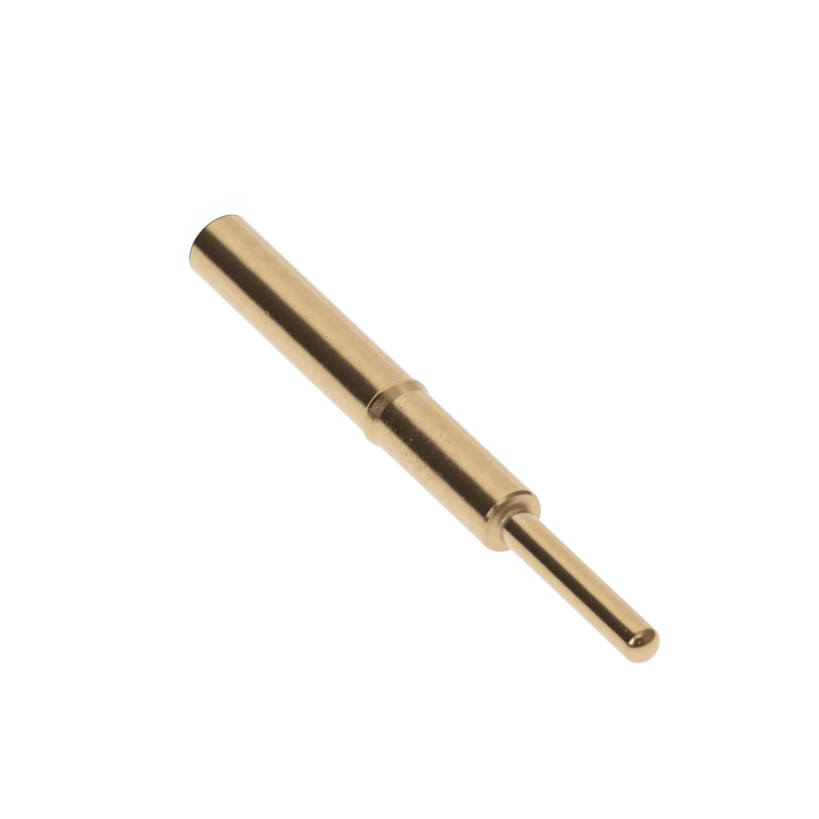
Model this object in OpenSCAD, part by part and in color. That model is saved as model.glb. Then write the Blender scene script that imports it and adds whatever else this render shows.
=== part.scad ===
// Pin terminal for a printed circuit board, turned in one piece from brass bar and gold plated.
// A long plain shank carries a rounded retaining collar, a front body with a shoulder and a thin round-nosed pin.
// It stands on its rear end: the origin is the centre of that end, and +Z runs along the axis to the nose.

/* [Rear shank] */
// Diameter of the plain shank behind the collar
shank_d = 1.84; // [1.5:0.01:1.9]
// Length of the shank, from the rear end to the foot of the collar
shank_len = 7.87; // [4:0.01:14]
// Width of the bevel that breaks the edge of the rear end
rear_bevel = 0.01; // [0.01:0.01:0.2]

/* [Retaining collar] */
// Largest diameter of the collar, on its land
collar_d = 1.97; // [1.92:0.01:2.6]
// Radius of the round by which the collar rises from the shank
crest_r = 0.12; // [0.08:0.01:0.3]
// Length of the straight land, from the round to the lead-in cone
crest_len = 0.06; // [0.02:0.01:0.4]
// Length of the lead-in cone, from the land down to the front body
lead_in_len = 0.36; // [0.1:0.01:1]

/* [Front body] */
// Diameter of the front body, between the collar and the shoulder
body_d = 1.8; // [1.6:0.01:1.9]
// Length from the foot of the collar to the shoulder
body_len = 5.3; // [3:0.01:10]
// Length of the bevel round the shoulder, along the axis
bevel_len = 0.12; // [0.02:0.01:0.3]
// Depth of the bevel round the shoulder, in from the front body
bevel_depth = 0.075; // [0.02:0.005:0.08]

/* [Contact pin] */
// Diameter of the thin pin
pin_d = 1.02; // [0.6:0.01:1.1]
// Length of the pin, from the shoulder to the end of its nose
pin_len = 5.97; // [2:0.01:12]
// Width of the hollow cove at the foot of the pin, across the shoulder
root_width = 0.26; // [0.02:0.01:0.28]
// Height of the hollow cove, along the pin
root_rise = 0.24; // [0.02:0.01:0.4]
// Length of the rounded nose at the end of the pin
nose_len = 0.38; // [0.2:0.01:0.6]

/* [Hidden] */
$fn = 96;
gold = [0.83, 0.69, 0.47];

// Radii of the turned diameters, and of the shoulder's face inside its bevel
shank_r = shank_d / 2;
collar_r = collar_d / 2;
body_r = body_d / 2;
face_r = body_r - bevel_depth;
pin_r = pin_d / 2;

// How far along the axis the round needs to lift the collar from the shank
crest_lift = min(max(collar_r - shank_r, 0.01), crest_r);
crest_run = sqrt(crest_lift * (2 * crest_r - crest_lift));

// Stations along the axis, from the rear end to the nose
step_z = shank_len;
crest_z = step_z + crest_run;
cone_z = crest_z + crest_len;
body_z = cone_z + lead_in_len;
shoulder_z = step_z + body_len;
tip_z = shoulder_z + pin_len;
nose_z = tip_z - nose_len;

// Half of the turned outline without the collar's round, the cove and the nose, as points of radius and station
function plain_outline() = [
    [0, 0],
    [shank_r - rear_bevel, 0],
    [shank_r, rear_bevel],
    [shank_r, crest_z],
    [collar_r, crest_z],
    [collar_r, cone_z],
    [body_r, body_z],
    [body_r, shoulder_z - bevel_len],
    [face_r, shoulder_z],
    [pin_r, shoulder_z],
    [pin_r, nose_z],
    [0, nose_z]
];

// Half of the round on the rear side of the collar; the block fills in behind it on a collar that stands tall
module collar_round() {
    translate([collar_r - crest_r, crest_z])
        circle(r = crest_r);
    translate([0, step_z])
        square([collar_r - crest_r, crest_run]);
}

// Half of the hollow cove between the shoulder and the pin: a quarter of an ellipse is left out of a block
module root_cove() {
    cove_r = min(pin_r + root_width, face_r);
    difference() {
        translate([pin_r / 2, shoulder_z - root_rise])
            square([cove_r - pin_r / 2, 2 * root_rise]);
        translate([pin_r + root_width, shoulder_z + root_rise])
            scale([1, root_rise / root_width])
                circle(r = root_width);
    }
}

// Half of the rounded nose: an ellipse, kept to the bar that the pin is turned from
module nose() {
    intersection() {
        translate([0, nose_z])
            scale([1, nose_len / pin_r])
                circle(r = pin_r);
        translate([0, shoulder_z])
            square([pin_r, pin_len]);
    }
}

module turned_outline() {
    polygon(plain_outline());
    collar_round();
    root_cove();
    nose();
}

module pin_terminal() {
    color(gold)
        rotate_extrude()
            turned_outline();
}

pin_terminal();
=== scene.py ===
import math

import bpy
from mathutils import Matrix, Vector


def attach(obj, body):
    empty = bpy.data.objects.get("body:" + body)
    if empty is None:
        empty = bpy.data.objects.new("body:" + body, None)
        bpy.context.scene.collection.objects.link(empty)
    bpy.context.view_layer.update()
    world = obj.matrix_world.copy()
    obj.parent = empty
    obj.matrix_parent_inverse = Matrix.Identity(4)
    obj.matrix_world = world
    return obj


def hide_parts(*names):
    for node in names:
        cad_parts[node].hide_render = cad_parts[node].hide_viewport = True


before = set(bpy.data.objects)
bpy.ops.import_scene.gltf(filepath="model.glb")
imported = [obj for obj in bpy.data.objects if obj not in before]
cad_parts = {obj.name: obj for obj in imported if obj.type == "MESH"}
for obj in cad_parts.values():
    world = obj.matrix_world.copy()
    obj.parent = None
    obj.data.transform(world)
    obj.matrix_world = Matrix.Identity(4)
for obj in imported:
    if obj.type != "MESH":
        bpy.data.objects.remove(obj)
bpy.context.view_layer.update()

MM = 0.001

# Sizes of the turned pin in millimetres, as in the part's source.
# Only the bevel and the cove are a little larger there.
SHANK_R = 0.92
SHANK_LEN = 7.87
REAR_BEVEL = 0.01
COLLAR_R = 0.985
CREST_R = 0.12
CREST_LEN = 0.06
LEAD_IN_LEN = 0.36
BODY_R = 0.9
BODY_LEN = 5.3
BEVEL_LEN = 0.1
BEVEL_DEPTH = 0.06
PIN_R = 0.51
PIN_LEN = 5.97
ROOT_WIDTH = 0.25
ROOT_RISE = 0.20
NOSE_LEN = 0.38

# Stations along the axis, from the rear end to the nose.
STEP_Z = SHANK_LEN
COLLAR_RISE = COLLAR_R - SHANK_R
CREST_Z = STEP_Z + math.sqrt(COLLAR_RISE * (2 * CREST_R - COLLAR_RISE))
CONE_Z = CREST_Z + CREST_LEN
BODY_Z = CONE_Z + LEAD_IN_LEN
SHOULDER_Z = STEP_Z + BODY_LEN
TIP_Z = SHOULDER_Z + PIN_LEN
NOSE_Z = TIP_Z - NOSE_LEN

# Radii that soften the edges of the lead-in cone and of the shoulder's bevel.
CONE_EDGE_R = 0.3
BEVEL_START_R = 0.02
BEVEL_END_R = 0.04

# How finely the outline is drawn: steps on each round, sides of a ring, and the longest gap between rings.
CREST_STEPS = 16
CONE_EDGE_STEPS = 6
BEVEL_START_STEPS = 8
BEVEL_END_STEPS = 12
COVE_STEPS = 40
NOSE_STEPS = 40
RING_SIDES = 256
RING_PITCH = 0.25

# A point nearer to the axis than this lies on it, and an edge that bends more than this is a crease.
ON_AXIS_MM = 1e-6
CREASE_DEG = 11.0

# The photograph's view: the axis leans towards the camera and runs to the lower right.
IMAGE_PX = 819
SENSOR_MM = 36.0
AXIS_LEAN_DEG = 39.666
AXIS_SLOPE_DEG = 43.368
FOCAL_PX = 18001.0
PX_PER_MM = 40.027
AIM_Z = 7.926
AIM_PX = (394.771, 411.309)
CLIP_START_M = 0.01
CLIP_END_M = 2.0

# How far the photograph's camera looks down on the table that the pin lies on there.
TABLE_VIEW_DEG = 39.8


def camera_axes():
    """Right, up and back of the photograph's camera, in the frame of the standing pin."""
    lean = math.radians(AXIS_LEAN_DEG)
    slope = math.radians(AXIS_SLOPE_DEG)
    along = Vector((0.0, math.sin(lean), math.cos(lean)))
    across = Vector((1.0, 0.0, 0.0))
    back = Vector((0.0, -math.cos(lean), math.sin(lean)))
    right = math.cos(slope) * along - math.sin(slope) * across
    up = -math.sin(slope) * along - math.cos(slope) * across
    return right, up, back


def add_camera():
    """The photograph's camera, aimed so that the pin lies where the photograph shows it."""
    right, up, back = camera_axes()
    distance = FOCAL_PX / PX_PER_MM
    shift_right = (AIM_PX[0] - IMAGE_PX / 2) / PX_PER_MM
    shift_down = (AIM_PX[1] - IMAGE_PX / 2) / PX_PER_MM
    place = Vector((0.0, 0.0, AIM_Z)) + distance * back - shift_right * right + shift_down * up
    data = bpy.data.cameras.new("camera")
    data.sensor_width = SENSOR_MM
    data.lens = FOCAL_PX / IMAGE_PX * SENSOR_MM
    data.clip_start = CLIP_START_M
    data.clip_end = CLIP_END_M
    camera = bpy.data.objects.new("camera", data)
    turn = Matrix((right, up, back)).transposed().to_4x4()
    camera.matrix_world = Matrix.Translation(place * MM) @ turn
    bpy.context.scene.collection.objects.link(camera)
    bpy.context.scene.camera = camera


def arc(centre_r, centre_z, radius_r, radius_z, start_deg, end_deg, steps):
    """Points of radius and station on an arc or a quarter of an ellipse."""
    points = []
    for i in range(steps + 1):
        angle = math.radians(start_deg + (end_deg - start_deg) * i / steps)
        points.append((centre_r + radius_r * math.cos(angle), centre_z + radius_z * math.sin(angle)))
    return points


def softened(before, edge, after, radius, steps):
    """Points that round the edge of a bent line with an arc."""
    edge = Vector(edge)
    back = (Vector(before) - edge).normalized()
    ahead = (Vector(after) - edge).normalized()
    half = back.angle(ahead) / 2
    centre = edge + (back + ahead).normalized() * (radius / math.sin(half))
    start = edge + back * (radius / math.tan(half)) - centre
    end = edge + ahead * (radius / math.tan(half)) - centre
    points = []
    for i in range(steps + 1):
        spoke = start.lerp(end, i / steps).normalized() * radius
        points.append(tuple(centre + spoke))
    return points


def turned_outline():
    """The pin's outline from the centre of its rear end to the end of its nose."""
    points = [(0.0, 0.0), (SHANK_R - REAR_BEVEL, 0.0), (SHANK_R, REAR_BEVEL), (SHANK_R, STEP_Z)]
    rise_deg = math.degrees(math.asin((CREST_Z - STEP_Z) / CREST_R))
    points += arc(COLLAR_R - CREST_R, CREST_Z, CREST_R, CREST_R, -rise_deg, 0, CREST_STEPS)[1:]
    cone_start = (COLLAR_R, CONE_Z)
    cone_end = (BODY_R, BODY_Z)
    bevel_start = (BODY_R, SHOULDER_Z - BEVEL_LEN)
    bevel_end = (BODY_R - BEVEL_DEPTH, SHOULDER_Z)
    points += softened((COLLAR_R, CREST_Z), cone_start, cone_end, CONE_EDGE_R, CONE_EDGE_STEPS)
    points += softened(cone_start, cone_end, bevel_start, CONE_EDGE_R, CONE_EDGE_STEPS)
    points += softened(cone_end, bevel_start, bevel_end, BEVEL_START_R, BEVEL_START_STEPS)
    points += softened(bevel_start, bevel_end, (PIN_R, SHOULDER_Z), BEVEL_END_R, BEVEL_END_STEPS)
    cove_r = PIN_R + ROOT_WIDTH
    cove_z = SHOULDER_Z + ROOT_RISE
    points += arc(cove_r, cove_z, ROOT_WIDTH, ROOT_RISE, -90, -180, COVE_STEPS)
    points += arc(0.0, NOSE_Z, PIN_R, NOSE_LEN, 0, 90, NOSE_STEPS)
    points[-1] = (0.0, TIP_Z)
    return points


def with_rings(outline):
    """The outline with more points on its long straight runs, so that no face is a long sliver."""
    points = [outline[0]]
    for start, end in zip(outline, outline[1:]):
        parts = max(1, math.ceil(math.dist(start, end) / RING_PITCH))
        for i in range(1, parts + 1):
            share = i / parts
            points.append(tuple(a + (b - a) * share for a, b in zip(start, end)))
    return points


def lathe(name, outline):
    """A closed mesh turned from the outline, smooth but for its creases."""
    verts = []
    rings = []
    for radius, station in outline:
        sides = 1 if radius < ON_AXIS_MM else RING_SIDES
        rings.append(range(len(verts), len(verts) + sides))
        for i in range(sides):
            angle = 2 * math.pi * i / RING_SIDES
            verts.append((radius * math.cos(angle) * MM, radius * math.sin(angle) * MM, station * MM))
    faces = []
    for low, high in zip(rings, rings[1:]):
        for i in range(RING_SIDES):
            j = (i + 1) % RING_SIDES
            if len(low) == 1:
                faces.append((low[0], high[j], high[i]))
            elif len(high) == 1:
                faces.append((low[i], low[j], high[0]))
            else:
                faces.append((low[i], low[j], high[j], high[i]))
    mesh = bpy.data.meshes.new(name)
    mesh.from_pydata(verts, [], faces)
    mesh.shade_smooth()
    mesh.set_sharp_from_angle(angle=math.radians(CREASE_DEG))
    piece = bpy.data.objects.new(name, mesh)
    bpy.context.scene.collection.objects.link(piece)
    return piece


class Nodes:
    """Short calls that add and join the nodes of one material or world."""

    # The sockets of a Mix node that carry colours.
    MIX_A = 6
    MIX_B = 7
    MIX_RESULT = 2

    def __init__(self, tree):
        self.tree = tree
        tree.nodes.clear()

    def add(self, kind, **settings):
        node = self.tree.nodes.new("ShaderNode" + kind)
        for key, value in settings.items():
            setattr(node, key, value)
        return node

    def join(self, value, socket):
        """Links a socket's value, or sets a constant one."""
        if isinstance(value, bpy.types.NodeSocket):
            self.tree.links.new(value, socket)
        else:
            socket.default_value = value

    def math(self, operation, *values):
        node = self.add("Math", operation=operation)
        for value, socket in zip(values, node.inputs):
            self.join(value, socket)
        return node.outputs[0]

    def dot(self, vector, direction):
        node = self.add("VectorMath", operation="DOT_PRODUCT")
        self.join(vector, node.inputs[0])
        self.join(direction, node.inputs[1])
        return node.outputs["Value"]

    def ramp(self, value, start, end, low=0.0, high=1.0):
        """A smooth step from low at start to high at end."""
        node = self.add("MapRange", interpolation_type="SMOOTHSTEP")
        for socket, number in zip(node.inputs, (value, start, end, low, high)):
            self.join(number, socket)
        return node.outputs[0]

    def band(self, value, rise, fall):
        """One between a smooth rise and a smooth fall, zero outside them."""
        risen = self.ramp(value, *rise)
        not_fallen = self.ramp(value, *fall, 1.0, 0.0)
        return self.math("MULTIPLY", risen, not_fallen)

    def window(self, value, start, end, soft):
        """One between start and end, with soft sides."""
        return self.band(value, (start - soft, start + soft), (end - soft, end + soft))

    def noise(self, place, per_mm, detail):
        node = self.add("TexNoise")
        self.join(place, node.inputs["Vector"])
        self.join(per_mm, node.inputs["Scale"])
        self.join(detail, node.inputs["Detail"])
        return node.outputs[0]

    def mix(self, share, a, b):
        """Colour a, with colour b over it by its share."""
        node = self.add("Mix", data_type="RGBA")
        self.join(share, node.inputs[0])
        self.join(a, node.inputs[self.MIX_A])
        self.join(b, node.inputs[self.MIX_B])
        return node.outputs[self.MIX_RESULT]

    def blend(self, share, a, b):
        """Shader a, with shader b over it by its share."""
        node = self.add("MixShader")
        self.join(share, node.inputs[0])
        self.join(a.outputs[0], node.inputs[1])
        self.join(b.outputs[0], node.inputs[2])
        return node

    def show(self, output, shader):
        """Makes the shader the surface of the material or world."""
        out = self.add(output)
        self.join(shader.outputs[0], out.inputs["Surface"])


def rgb(red, green, blue):
    return (red, green, blue, 1.0)


WHITE = rgb(1.0, 1.0, 1.0)

# The studio round the pin, by azimuth and elevation in degrees as seen over the photograph's table:
# azimuth 0 is behind the pin, 90 to the right, -90 to the left, and 180 the camera's side.
ROOM_LEFT = rgb(0.055, 0.048, 0.048)
ROOM_LEFT_BACK = rgb(0.105, 0.095, 0.095)
ROOM_LEFT_FRONT = rgb(0.235, 0.185, 0.18)
ROOM_RIGHT = rgb(0.26, 0.195, 0.185)
ROOM_FRONT = rgb(0.126, 0.09, 0.067)
CEILING = rgb(0.55, 0.54, 0.49)
BACK_CARD = rgb(0.785, 0.785, 0.77)
BACK_CARD_FOOT = rgb(0.91, 0.95, 1.05)
TOP_LIGHT = rgb(0.93, 0.94, 0.93)
FRONT_LIGHT = rgb(0.86, 0.89, 0.98)
LAMP = rgb(1.8, 2.1, 3.1)
LAMP_EDGE = rgb(0.55, 0.60, 0.75)
SPOT = rgb(0.60, 0.55, 0.60)
TABLE_FAR = rgb(0.79, 0.81, 0.84)
TABLE_NEAR = rgb(0.945, 1.0, 1.12)

# Soft changes in the studio, each from its first angle to its second.
LEFT_TO_BACK = (-84, -62)
LEFT_TO_FRONT = (-97, -104)
BACK_TO_RIGHT = (20, 50)
WALLS_TO_CEILING = (49, 86)
CARD_FOOT_TO_CARD = (2, 20)
CARD_LEFT = (-63, -49)
CARD_RIGHT = (18, 52)
CARD_TOP = (81, 53)
LAMP_LEFT = (-149, -128)
LAMP_RIGHT = (-132, -110)
TABLE_FAR_TO_NEAR = (0, -32)
ROOM_TO_TABLE = (5, -6)

# Soft changes to both sides of the camera, counted from its side of the studio.
HALF_TURN = 180.0
SIDES_TO_FRONT = (50, 32)
FRONT_LIGHT_SIDES = (68, 20)

# Lights in the studio: where each begins and ends across or upwards, and how soft its sides are.
TOP_LIGHT_ACROSS = (-46, 20, 12)
TOP_LIGHT_UP = (47, 59, 6)
FRONT_LIGHT_UP = (57, 80, 6)
LAMP_UP = (20, 46, 6)
LAMP_EDGE_ACROSS = (-155, -112, 4)
LAMP_EDGE_UP = (15, 56, 5)
SPOT_ACROSS = (160, 169, 3)
SPOT_UP = (21, 31, 4)


def room_colour(n, azimuth, elevation, from_front):
    """A dim room, darkest at the left and palest at the ceiling."""
    colour = n.mix(n.ramp(azimuth, *LEFT_TO_BACK), ROOM_LEFT, ROOM_LEFT_BACK)
    colour = n.mix(n.ramp(azimuth, *LEFT_TO_FRONT), colour, ROOM_LEFT_FRONT)
    colour = n.mix(n.ramp(azimuth, *BACK_TO_RIGHT), colour, ROOM_RIGHT)
    colour = n.mix(n.ramp(from_front, *SIDES_TO_FRONT), colour, ROOM_FRONT)
    return n.mix(n.ramp(elevation, *WALLS_TO_CEILING), colour, CEILING)


def studio_colour(n, azimuth, elevation):
    """A white table under a dim room, with a back card, soft lights overhead and a small lamp at the left."""
    from_front = n.math("SUBTRACT", HALF_TURN, n.math("ABSOLUTE", azimuth))
    colour = room_colour(n, azimuth, elevation, from_front)

    card = n.mix(n.ramp(elevation, *CARD_FOOT_TO_CARD), BACK_CARD_FOOT, BACK_CARD)
    behind = n.math("MULTIPLY", n.band(azimuth, CARD_LEFT, CARD_RIGHT), n.ramp(elevation, *CARD_TOP))
    colour = n.mix(behind, colour, card)

    top = n.math("MULTIPLY", n.window(azimuth, *TOP_LIGHT_ACROSS), n.window(elevation, *TOP_LIGHT_UP))
    colour = n.mix(top, colour, TOP_LIGHT)
    front = n.math("MULTIPLY", n.ramp(from_front, *FRONT_LIGHT_SIDES), n.window(elevation, *FRONT_LIGHT_UP))
    colour = n.mix(front, colour, FRONT_LIGHT)
    edge = n.math("MULTIPLY", n.window(azimuth, *LAMP_EDGE_ACROSS), n.window(elevation, *LAMP_EDGE_UP))
    colour = n.mix(edge, colour, LAMP_EDGE)
    lamp = n.math("MULTIPLY", n.band(azimuth, LAMP_LEFT, LAMP_RIGHT), n.window(elevation, *LAMP_UP))
    colour = n.mix(lamp, colour, LAMP)
    spot = n.math("MULTIPLY", n.window(azimuth, *SPOT_ACROSS), n.window(elevation, *SPOT_UP))
    colour = n.mix(spot, colour, SPOT)

    table = n.mix(n.ramp(elevation, *TABLE_FAR_TO_NEAR), TABLE_FAR, TABLE_NEAR)
    return n.mix(n.ramp(elevation, *ROOM_TO_TABLE), colour, table)


def studio_world():
    """The studio that lights the pin and is mirrored in it; the camera itself sees plain white."""
    right, up, back = camera_axes()
    look_down = math.radians(TABLE_VIEW_DEG)
    away = math.sin(look_down) * up - math.cos(look_down) * back
    above = math.cos(look_down) * up + math.sin(look_down) * back

    world = bpy.data.worlds.new("studio")
    bpy.context.scene.world = world
    world.use_nodes = True
    n = Nodes(world.node_tree)
    ray = n.add("TexCoord").outputs["Generated"]
    azimuth = n.math("DEGREES", n.math("ARCTAN2", n.dot(ray, right), n.dot(ray, away)))
    elevation = n.math("DEGREES", n.math("ARCSINE", n.dot(ray, above)))
    studio = n.add("Background")
    n.join(studio_colour(n, azimuth, elevation), studio.inputs["Color"])
    white = n.add("Background")
    n.join(WHITE, white.inputs["Color"])
    to_camera = n.add("LightPath").outputs["Is Camera Ray"]
    n.show("OutputWorld", n.blend(to_camera, studio, white))


def new_material(name):
    material = bpy.data.materials.new(name)
    material.use_nodes = True
    return material, Nodes(material.node_tree)


# The gold plate: two close shades of gold with small pits, darkened by painted shade, most of them round the
# collar, one worn patch, one smudge on the lead-in cone, a pale painted highlight at the foot of the pin
# and a grey rim of painted shade at the rear end.
GOLD = rgb(0.785, 0.580, 0.310)
GOLD_ROSY = rgb(0.755, 0.525, 0.280)
GOLD_PAINTED_HIGHLIGHT = rgb(0.80, 0.64, 0.43)
GOLD_WORN = rgb(0.55, 0.35, 0.18)
GOLD_SMUDGED = rgb(0.30, 0.215, 0.095)
PIT_PAINTED_SHADE_COLOUR = rgb(0.38, 0.27, 0.15)
RIM_PAINTED_SHADE_GREY = rgb(0.13, 0.12, 0.12)

# Noises on the gold: how many waves lie on a millimetre, and how detailed they are.
FINE_NOISE = (5.5, 2.0)
BROAD_NOISE = (2.6, 2.0)
GRAIN_NOISE = (14.0, 1.0)
POLISH_NOISE = (5.0, 3.0)
WAVE_NOISE = (0.8, 1.0)

# Shares of the noises in the gold's tone, and the levels of a noise between which each kind of mark comes up.
FINE_SHARE = 0.35
BROAD_SHARE = 0.45
GRAIN_SHARE = 0.2
ROSY_TONE = (0.36, 0.64)
WORN_FINE = (0.42, 0.60)
WORN_GRAIN = (0.40, 0.62)
SMUDGE_GRAIN = (0.38, 0.56)
SCUFF_GRAIN = (0.48, 0.74)

# Pits and specks: cells on a millimetre, then the least half width and the spread of half widths, in cells.
# A share of each is flat at the bottom, and only pits are tinted, with painted shade.
PITS = (5.0, 0.09, 0.12)
SPECKS = (13.0, 0.26, 0.24)
FLAT_BOTTOM = 0.2
PIT_PAINTED_SHADE_SHARE = 0.7

# Which share of the cells has a speck: more where the pin is handled, and fewer where it is clean.
# The share of cells with a pit is larger by the last number.
SPECKED = 0.1
MORE_SPECKS_HANDLED = 0.05
FEWER_SPECKS_CLEAN = 0.085
PITS_TO_SPECKS = 2.0

# Depths of the gold's relief.
PIT_DEPTH_MM = 0.006
SPECK_DEPTH_MM = 0.0013
WAVE_DEPTH_MM = 0.016
GRAIN_DEPTH_MM = 0.0002

# Roughness of the polished gold and of the turned face, and how far the polish varies.
POLISHED = 0.13
POLISH_SPREAD = 0.06
TURNED = 0.40

# What a scuff adds to the roughness, and the share of it anywhere and more where the pin is handled.
SCUFFED = 0.14
SCUFF_SHARE = 0.4
MORE_SCUFFS_HANDLED = 0.6

# Stations between which the gold changes. The last number of HANDLED is how soft its ends are.
HANDLED = (STEP_Z - 0.8, BODY_Z + 3.0, 0.9)
CLEAN = (SHOULDER_Z - 1.0, SHOULDER_Z)
FACE_START = (SHOULDER_Z - 0.04, SHOULDER_Z)
FACE_END = (SHOULDER_Z + 0.20, SHOULDER_Z + 0.26)
# Where the pale painted highlight at the foot of the pin comes up, thins and ends.
FOOT_PAINTED_HIGHLIGHT_START = (SHOULDER_Z + 0.12, SHOULDER_Z + 0.20)
FOOT_PAINTED_HIGHLIGHT_THINS = (SHOULDER_Z + 0.27, SHOULDER_Z + 0.36)
FOOT_PAINTED_HIGHLIGHT_END = (SHOULDER_Z + 0.45, SHOULDER_Z + 0.9)
# The grey rim of painted shade at the rear end ends between these stations.
RIM_PAINTED_SHADE_END = (0.0585, 0.0315)

# How much of the painted highlight at the foot is left on the straight part of the pin.
FOOT_PAINTED_HIGHLIGHT_ON_PIN = 0.42

# The worn patch and the smudge, each with its middle, its stretch along the axis,
# the distances over which it fades in, and its strength.
WORN_PATCH = (0.65, -0.62, 10.15)
WORN_LONG = 2.2
WORN_FADE = (0.5, 0.15)
WORN_SHARE = 0.65
SMUDGE = (0.51, -0.80, 8.21)
SMUDGE_LONG = 1.3
SMUDGE_FADE = (0.17, 0.05)
SMUDGE_SHARE = 0.8


def place_in_mm(n):
    """The spot on the pin and its station along the axis, in millimetres."""
    scaled = n.add("VectorMath", operation="SCALE")
    n.join(n.add("TexCoord").outputs["Object"], scaled.inputs[0])
    n.join(1.0 / MM, scaled.inputs["Scale"])
    place = scaled.outputs[0]
    parts = n.add("SeparateXYZ")
    n.join(place, parts.inputs[0])
    return place, parts.outputs["Z"]


def hollows(n, place, share, per_mm, least, spread):
    """How deep each spot lies in a round hollow, from 0 on the open surface to 1 at the bottom."""
    cells = n.add("TexVoronoi")
    n.join(place, cells.inputs["Vector"])
    n.join(per_mm, cells.inputs["Scale"])
    chance = n.add("SeparateColor")
    n.join(cells.outputs["Color"], chance.inputs[0])
    hollow = n.math("LESS_THAN", chance.outputs[0], share)
    width = n.math("MULTIPLY_ADD", chance.outputs[1], spread, least)
    depth = n.ramp(cells.outputs["Distance"], width, n.math("MULTIPLY", width, FLAT_BOTTOM))
    return n.math("MULTIPLY", depth, hollow)


def pits_and_specks(n, place, station, handled):
    """Small pits and finer specks, most of them where the pin is handled."""
    share = n.math("MULTIPLY_ADD", n.ramp(station, *CLEAN), -FEWER_SPECKS_CLEAN, SPECKED)
    share = n.math("MULTIPLY_ADD", handled, MORE_SPECKS_HANDLED, share)
    pit = hollows(n, place, n.math("MULTIPLY", share, PITS_TO_SPECKS), *PITS)
    speck = hollows(n, place, share, *SPECKS)
    return pit, speck


def patch(n, place, middle, stretch, fade):
    """One in the middle of a patch that is stretched along the axis, fading out round it."""
    shorten = n.add("VectorMath", operation="MULTIPLY")
    n.join(place, shorten.inputs[0])
    n.join((1.0, 1.0, 1.0 / stretch), shorten.inputs[1])
    apart = n.add("VectorMath", operation="DISTANCE")
    n.join(shorten.outputs[0], apart.inputs[0])
    n.join((middle[0], middle[1], middle[2] / stretch), apart.inputs[1])
    return n.ramp(apart.outputs["Value"], *fade)


def gold_shade(n, place, station, fine, grain, pit):
    """The colour of the gold with its marks, its pits darkened by painted shade, a painted highlight at the
    foot of the pin and a grey rim of painted shade.
    """
    tone = n.math("MULTIPLY", n.noise(place, *BROAD_NOISE), BROAD_SHARE)
    tone = n.math("MULTIPLY_ADD", fine, FINE_SHARE, tone)
    tone = n.math("MULTIPLY_ADD", grain, GRAIN_SHARE, tone)
    shade = n.mix(n.ramp(tone, *ROSY_TONE), GOLD, GOLD_ROSY)

    # A paler gold at the foot of the pin: a painted highlight.
    foot_highlight = n.ramp(station, *FOOT_PAINTED_HIGHLIGHT_THINS, 1.0, FOOT_PAINTED_HIGHLIGHT_ON_PIN)
    foot_highlight = n.math("MULTIPLY", foot_highlight, n.band(station, FOOT_PAINTED_HIGHLIGHT_START, FOOT_PAINTED_HIGHLIGHT_END))
    shade = n.mix(foot_highlight, shade, GOLD_PAINTED_HIGHLIGHT)

    marks = n.math("MULTIPLY", n.ramp(fine, *WORN_FINE), n.ramp(grain, *WORN_GRAIN))
    marks = n.math("MULTIPLY", marks, WORN_SHARE)
    worn = n.math("MULTIPLY", patch(n, place, WORN_PATCH, WORN_LONG, WORN_FADE), marks)
    shade = n.mix(worn, shade, GOLD_WORN)

    smudge = patch(n, place, SMUDGE, SMUDGE_LONG, SMUDGE_FADE)
    smudge = n.math("MULTIPLY", smudge, n.ramp(grain, *SMUDGE_GRAIN))
    smudge = n.math("MULTIPLY", smudge, SMUDGE_SHARE)
    shade = n.mix(smudge, shade, GOLD_SMUDGED)

    # Darker gold in the pits: painted shade.
    shade = n.mix(n.math("MULTIPLY", pit, PIT_PAINTED_SHADE_SHARE), shade, PIT_PAINTED_SHADE_COLOUR)
    # A grey rim at the rear end: painted shade.
    return n.mix(n.ramp(station, *RIM_PAINTED_SHADE_END), shade, RIM_PAINTED_SHADE_GREY)


def gold_roughness(n, place, station, grain, handled):
    """Polished gold with scuffs, most of them where the pin is handled, and a rougher turned face."""
    least = POLISHED - POLISH_SPREAD / 2
    rough = n.math("MULTIPLY_ADD", n.noise(place, *POLISH_NOISE), POLISH_SPREAD, least)
    scuffs = n.math("MULTIPLY_ADD", handled, MORE_SCUFFS_HANDLED, SCUFF_SHARE)
    scuffs = n.math("MULTIPLY", n.ramp(grain, *SCUFF_GRAIN), scuffs)
    rough = n.math("MULTIPLY_ADD", scuffs, SCUFFED, rough)
    faced = n.math("MULTIPLY", n.band(station, FACE_START, FACE_END), TURNED)
    return n.math("MAXIMUM", rough, faced)


def gold_relief(n, place, grain, pit, speck):
    """The slight waviness of the gold, with its grain, pits and specks."""
    height = n.math("MULTIPLY", n.noise(place, *WAVE_NOISE), WAVE_DEPTH_MM)
    height = n.math("MULTIPLY_ADD", grain, GRAIN_DEPTH_MM, height)
    height = n.math("MULTIPLY_ADD", pit, -PIT_DEPTH_MM, height)
    height = n.math("MULTIPLY_ADD", speck, -SPECK_DEPTH_MM, height)
    bump = n.add("Bump")
    n.join(MM, bump.inputs["Distance"])
    n.join(height, bump.inputs["Height"])
    return bump.outputs[0]


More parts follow.
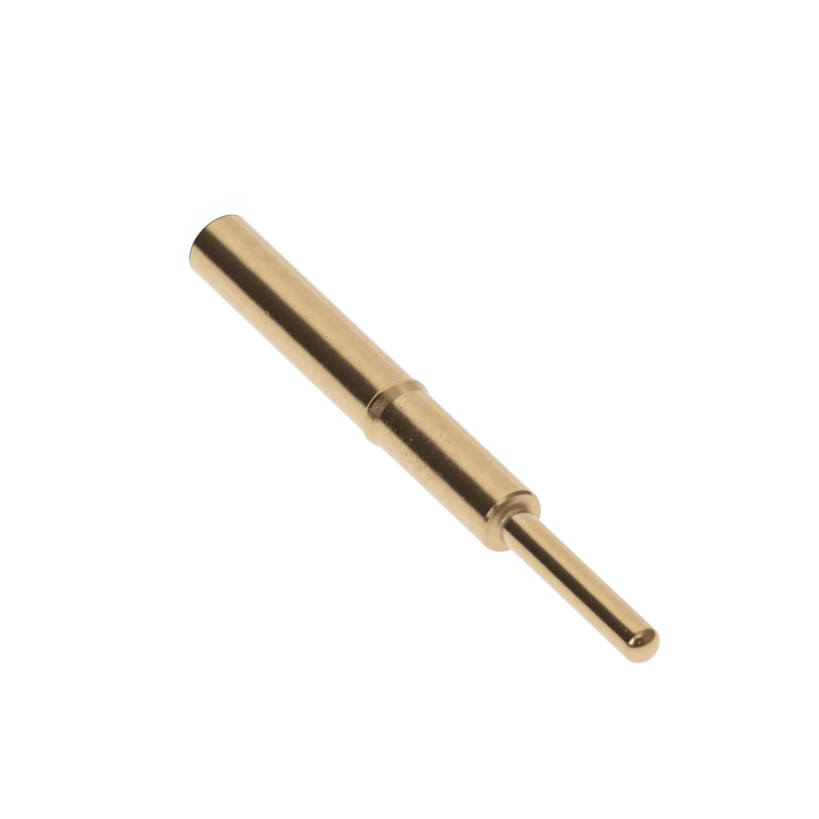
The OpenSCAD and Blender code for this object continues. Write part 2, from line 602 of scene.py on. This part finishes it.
def gold_plate():
    material, n = new_material("gold_plate")
    place, station = place_in_mm(n)
    handled = n.window(station, *HANDLED)
    pit, speck = pits_and_specks(n, place, station, handled)
    fine = n.noise(place, *FINE_NOISE)
    grain = n.noise(place, *GRAIN_NOISE)

    shader = n.add("BsdfPrincipled")
    n.join(1.0, shader.inputs["Metallic"])
    n.join(gold_shade(n, place, station, fine, grain, pit), shader.inputs["Base Color"])
    n.join(gold_roughness(n, place, station, grain, handled), shader.inputs["Roughness"])
    n.join(gold_relief(n, place, grain, pit, speck), shader.inputs["Normal"])
    n.show("OutputMaterial", shader)
    return material


# The floor: half its width in metres, its own grey, and the white that the camera sees most of.
FLOOR_HALF = 0.15
FLOOR_GREY = rgb(0.8, 0.8, 0.8)
FLOOR_GLOW = 1.07
FLOOR_GLOW_SHARE = 0.9


def pale_floor():
    """White to the camera, with the pin's soft shadow on it."""
    material, n = new_material("pale_floor")
    matte = n.add("BsdfDiffuse")
    n.join(FLOOR_GREY, matte.inputs["Color"])
    glow = n.add("Emission")
    n.join(WHITE, glow.inputs["Color"])
    n.join(FLOOR_GLOW, glow.inputs["Strength"])
    share = n.math("MULTIPLY", n.add("LightPath").outputs["Is Camera Ray"], FLOOR_GLOW_SHARE)
    n.show("OutputMaterial", n.blend(share, matte, glow))
    return material


def add_floor():
    half = FLOOR_HALF
    corners = [(-half, -half, 0.0), (half, -half, 0.0), (half, half, 0.0), (-half, half, 0.0)]
    mesh = bpy.data.meshes.new("floor")
    mesh.from_pydata(corners, [], [(0, 1, 2, 3)])
    mesh.materials.append(pale_floor())
    floor = bpy.data.objects.new("floor", mesh)
    bpy.context.scene.collection.objects.link(floor)
    # The pin mirrors the whole studio, also what lies lower than the floor that it stands on here.
    floor.visible_glossy = False
    floor.visible_shadow = False


def add_pin():
    pin = lathe("turned_pin", with_rings(turned_outline()))
    pin.data.materials.append(gold_plate())
    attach(pin, "root")
    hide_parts("pin_terminal")


add_camera()
studio_world()
add_floor()
add_pin()
bpy.context.scene.view_settings.view_transform = "Standard"
